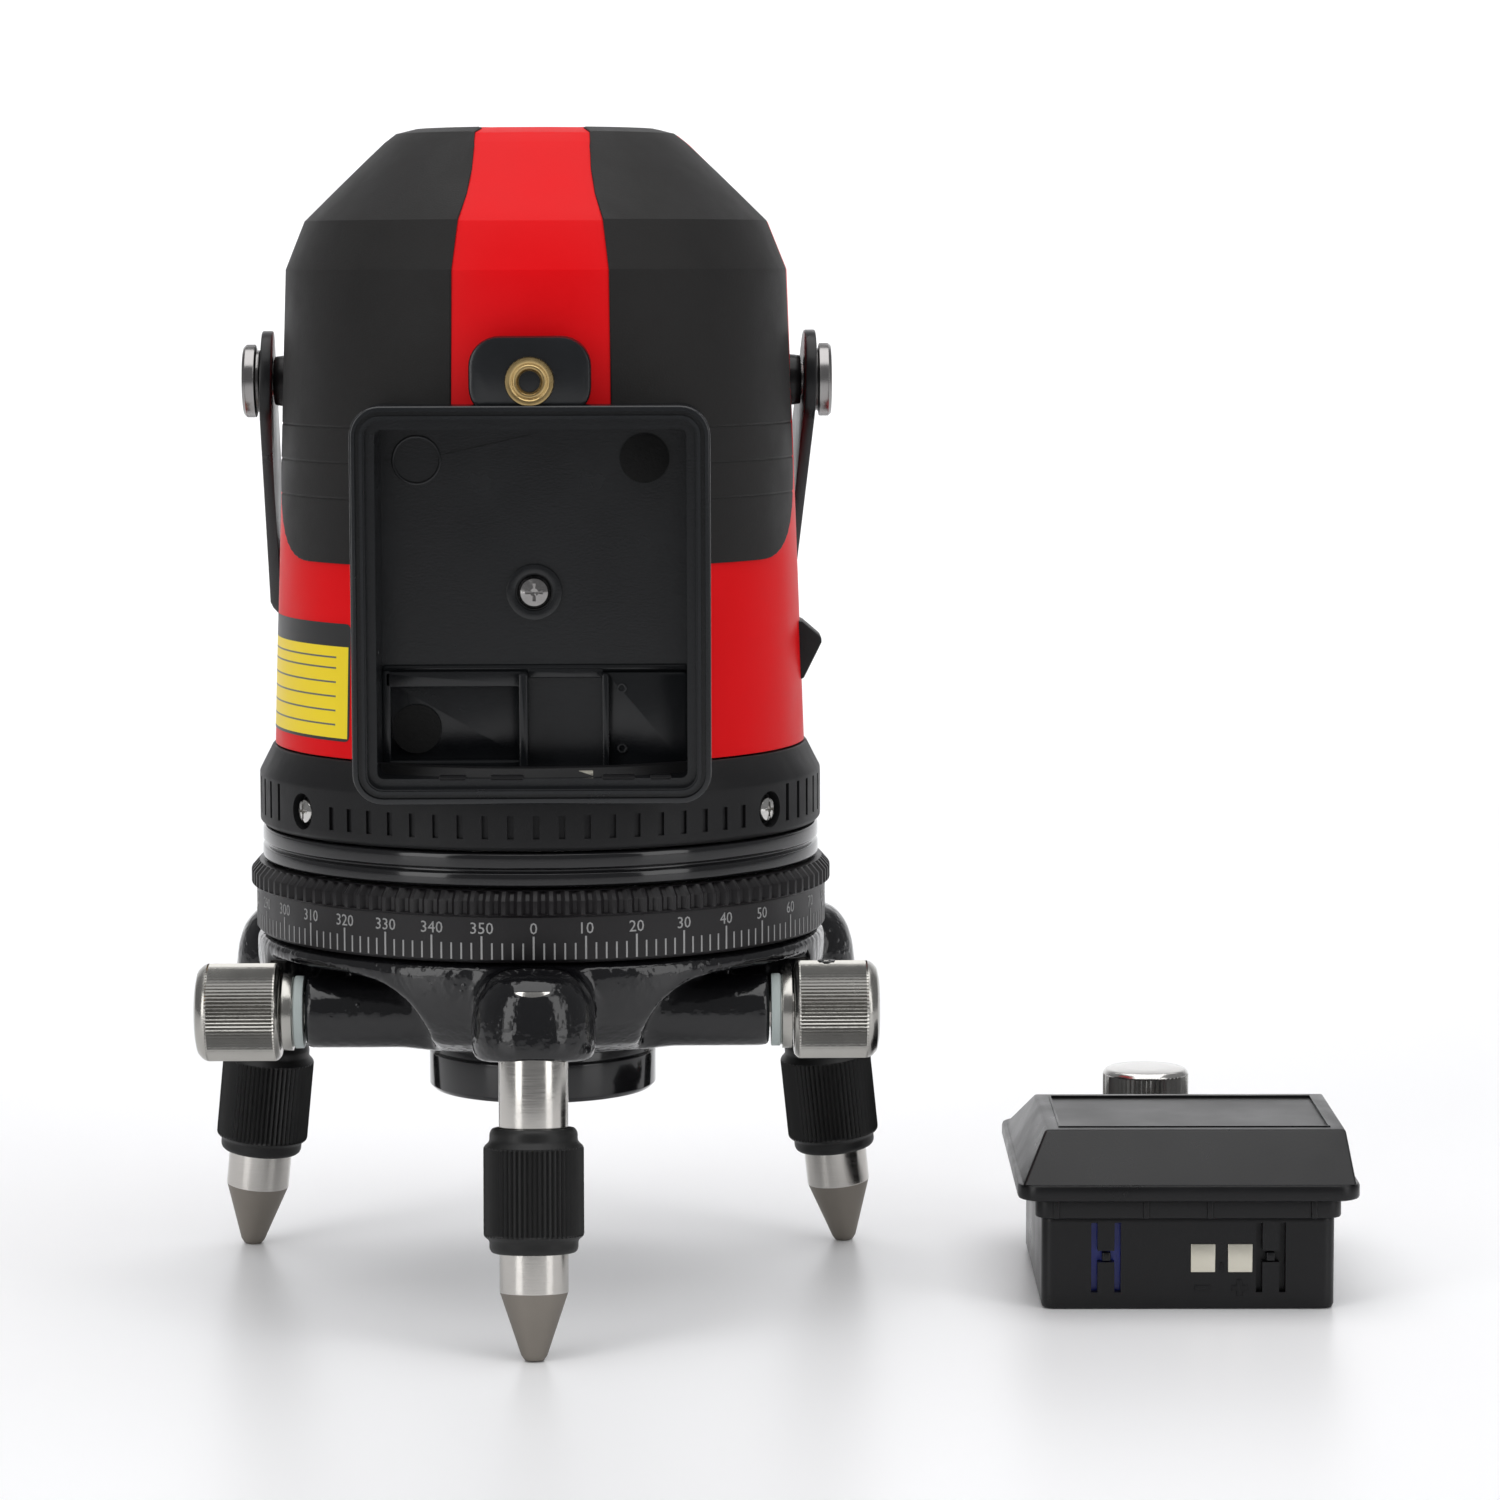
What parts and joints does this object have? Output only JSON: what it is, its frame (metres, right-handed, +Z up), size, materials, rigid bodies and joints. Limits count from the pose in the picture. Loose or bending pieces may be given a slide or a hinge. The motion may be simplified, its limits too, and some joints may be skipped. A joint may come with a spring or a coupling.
{
  "type": "rotating laser level",
  "caption": "Self-levelling laser level whose turret turns on a graduated base with screw legs, with an open battery bay, a bail handle and its battery pack.",
  "frame": {"origin": "centre of the whole set's footprint, on the floor that the feet and the battery pack stand on", "axes": "+Z up along the plumb axis, -Y the side with the battery bay, +X towards the battery pack"},
  "size_m": [0.2036, 0.1274, 0.2033],
  "materials": {
    "black_paint": "gloss black paint over a cast surface",
    "black_plastic": "fine-grained satin ABS",
    "black_rubber": "matte moulded rubber",
    "red_plastic": "satin moulded ABS",
    "chrome": "bright nickel plate with straight knurling",
    "steel": "turned and polished",
    "foot_steel": "bead-blasted cone on a polished shank",
    "brass": "turned",
    "bronze": "cut teeth",
    "aluminium": "machined",
    "copper": "rolled sheet",
    "magnet": "nickel plated",
    "grey_plastic": "moulded",
    "glass": "polished",
    "vial": "tinted liquid under a clear dome",
    "key_rubber": "moulded silicone",
    "board": "solder mask",
    "cell_wrap": "shrink sleeve"
  },
  "bodies": {
    "base": {"base_casting": "black_paint", "tripod_hub": "black_paint", "plumb_window": "glass", "shaft_bush_left": "grey_plastic", "shaft_bush_right": "grey_plastic", "leg_post_front": "steel", "leg_post_right": "steel", "leg_post_left": "steel"},
    "graduated_ring": {"graduated_ring": "black_paint"},
    "worm_wheel": {"worm_wheel": "bronze"},
    "worm_shaft": {"worm_shaft": "steel", "knob_left": "chrome", "knob_right": "chrome", "knob_grub_screw": "steel"},
    "turret": {"spindle": "steel", "collar_ring": "black_paint", "ribbed_ring": "black_plastic", "ring_screw_1": "chrome", "ring_screw_2": "chrome", "ring_screw_3": "chrome", "ring_screw_4": "chrome", "red_shell": "red_plastic", "rubber_panel_1": "black_rubber", "rubber_panel_2": "black_rubber", "rubber_panel_3": "black_rubber", "rubber_panel_4": "black_rubber", "battery_bay": "black_plastic", "brass_insert": "brass", "bay_screw": "chrome", "front_window": "glass", "dome_window": "glass", "top_plate": "black_plastic", "bubble_vial": "vial", "handle_screw_left": "chrome", "handle_screw_right": "chrome", "chassis": "aluminium", "damping_plate": "copper", "main_board": "board"},
    "handle": {"handle": "black_plastic"},
    "gimbal": {"gimbal_ring": "aluminium"},
    "pendulum": {"pendulum_frame": "aluminium", "laser_horizontal": "brass", "laser_vertical": "brass", "laser_plumb": "brass", "damping_magnet": "magnet"},
    "lock_switch": {"lock_switch": "black_plastic"},
    "lock_pad": {"lock_pad": "black_plastic"},
    "button_left": {"button_left": "key_rubber"},
    "button_right": {"button_right": "key_rubber"},
    "battery_pack": {"pack_case": "black_plastic", "pack_cover": "black_plastic", "battery_cell_left": "cell_wrap", "battery_cell_right": "cell_wrap"},
    "pack_screw": {"pack_screw": "chrome"},
    "leg_sleeve_front": {"leg_sleeve_front": "black_plastic"},
    "leg_foot_front": {"leg_foot_front": "foot_steel"},
    "leg_sleeve_right": {"leg_sleeve_right": "black_plastic"},
    "leg_foot_right": {"leg_foot_right": "foot_steel"},
    "leg_sleeve_left": {"leg_sleeve_left": "black_plastic"},
    "leg_foot_left": {"leg_foot_left": "foot_steel"}
  },
  "joints": [
    {"name": "ring_turn", "type": "hinge", "parent": "base", "child": "graduated_ring", "pos_m": [-0.0409, 0.0054, 0.068], "axis": [0, 0, 1], "continuous": true},
    {"name": "fine_turn", "type": "hinge", "parent": "base", "child": "worm_wheel", "pos_m": [-0.0409, 0.0054, 0.0526], "axis": [0, 0, 1], "continuous": true},
    {"name": "knob_turn", "type": "hinge", "parent": "base", "child": "worm_shaft", "pos_m": [-0.0409, -0.0221, 0.0526], "axis": [1, 0, 0], "continuous": true},
    {"name": "turret_turn", "type": "hinge", "parent": "worm_wheel", "child": "turret", "pos_m": [-0.0409, 0.0054, 0.062], "axis": [0, 0, 1], "continuous": true},
    {"name": "handle_swing", "type": "hinge", "parent": "turret", "child": "handle", "pos_m": [-0.0409, 0.0054, 0.1596], "axis": [1, 0, 0], "range_deg": [0, 225]},
    {"name": "gimbal_tilt", "type": "hinge", "parent": "turret", "child": "gimbal", "pos_m": [-0.0409, 0.0054, 0.165], "axis": [1, 0, 0], "range_deg": [-4, 4]},
    {"name": "pendulum_tilt", "type": "hinge", "parent": "gimbal", "child": "pendulum", "pos_m": [-0.0409, 0.0054, 0.165], "axis": [0, 1, 0], "range_deg": [-4, 4]},
    {"name": "lock_slide", "type": "slide", "parent": "turret", "child": "lock_switch", "axis": [0, 0, 1], "range_m": [0, 0.005]},
    {"name": "pad_lift", "type": "slide", "parent": "turret", "child": "lock_pad", "axis": [0, 0, 1], "range_m": [0, 0.003]},
    {"name": "button_left_press", "type": "slide", "parent": "turret", "child": "button_left", "axis": [0, 0, -1], "range_m": [0, 0.0008], "stiffness_N_per_m": 400, "springref_m": -0.0006},
    {"name": "button_right_press", "type": "slide", "parent": "turret", "child": "button_right", "axis": [0, 0, -1], "range_m": [0, 0.0008], "stiffness_N_per_m": 400, "springref_m": -0.0006},
    {"name": "sleeve_front_turn", "type": "hinge", "parent": "base", "child": "leg_sleeve_front", "pos_m": [-0.0409, -0.0578, 0], "axis": [0, -0.1191, -0.9929], "range_deg": [-433, 721]},
    {"name": "foot_front_slide", "type": "slide", "parent": "base", "child": "leg_foot_front", "axis": [0, -0.1191, -0.9929], "range_m": [-0.003, 0.005]},
    {"name": "sleeve_right_turn", "type": "hinge", "parent": "base", "child": "leg_sleeve_right", "pos_m": [0.01383, 0.037, 0], "axis": [0.1032, 0.0596, -0.9929], "range_deg": [-433, 721]},
    {"name": "foot_right_slide", "type": "slide", "parent": "base", "child": "leg_foot_right", "axis": [0.1032, 0.0596, -0.9929], "range_m": [-0.003, 0.005]},
    {"name": "sleeve_left_turn", "type": "hinge", "parent": "base", "child": "leg_sleeve_left", "pos_m": [-0.09563, 0.037, 0], "axis": [-0.1032, 0.0596, -0.9929], "range_deg": [-433, 721]},
    {"name": "foot_left_slide", "type": "slide", "parent": "base", "child": "leg_foot_left", "axis": [-0.1032, 0.0596, -0.9929], "range_m": [-0.003, 0.005]},
    {"name": "pack_lift", "type": "slide", "parent": "base", "child": "battery_pack", "axis": [0, 0, 1], "range_m": [0, 0.12]},
    {"name": "pack_screw_turn", "type": "hinge", "parent": "battery_pack", "child": "pack_screw", "pos_m": [0.07036, 0.04544, 0.0244], "axis": [0, 0, 1], "continuous": true}
  ],
  "couplings": [
    {"joint": "fine_turn", "follows": "knob_turn", "ratio": -0.022222},
    {"joint": "pad_lift", "follows": "lock_slide", "ratio": 0.6},
    {"joint": "sleeve_front_turn", "follows": "foot_front_slide", "rad_per_m": 2513.3},
    {"joint": "sleeve_right_turn", "follows": "foot_right_slide", "rad_per_m": 2513.3},
    {"joint": "sleeve_left_turn", "follows": "foot_left_slide", "rad_per_m": 2513.3}
  ]
}
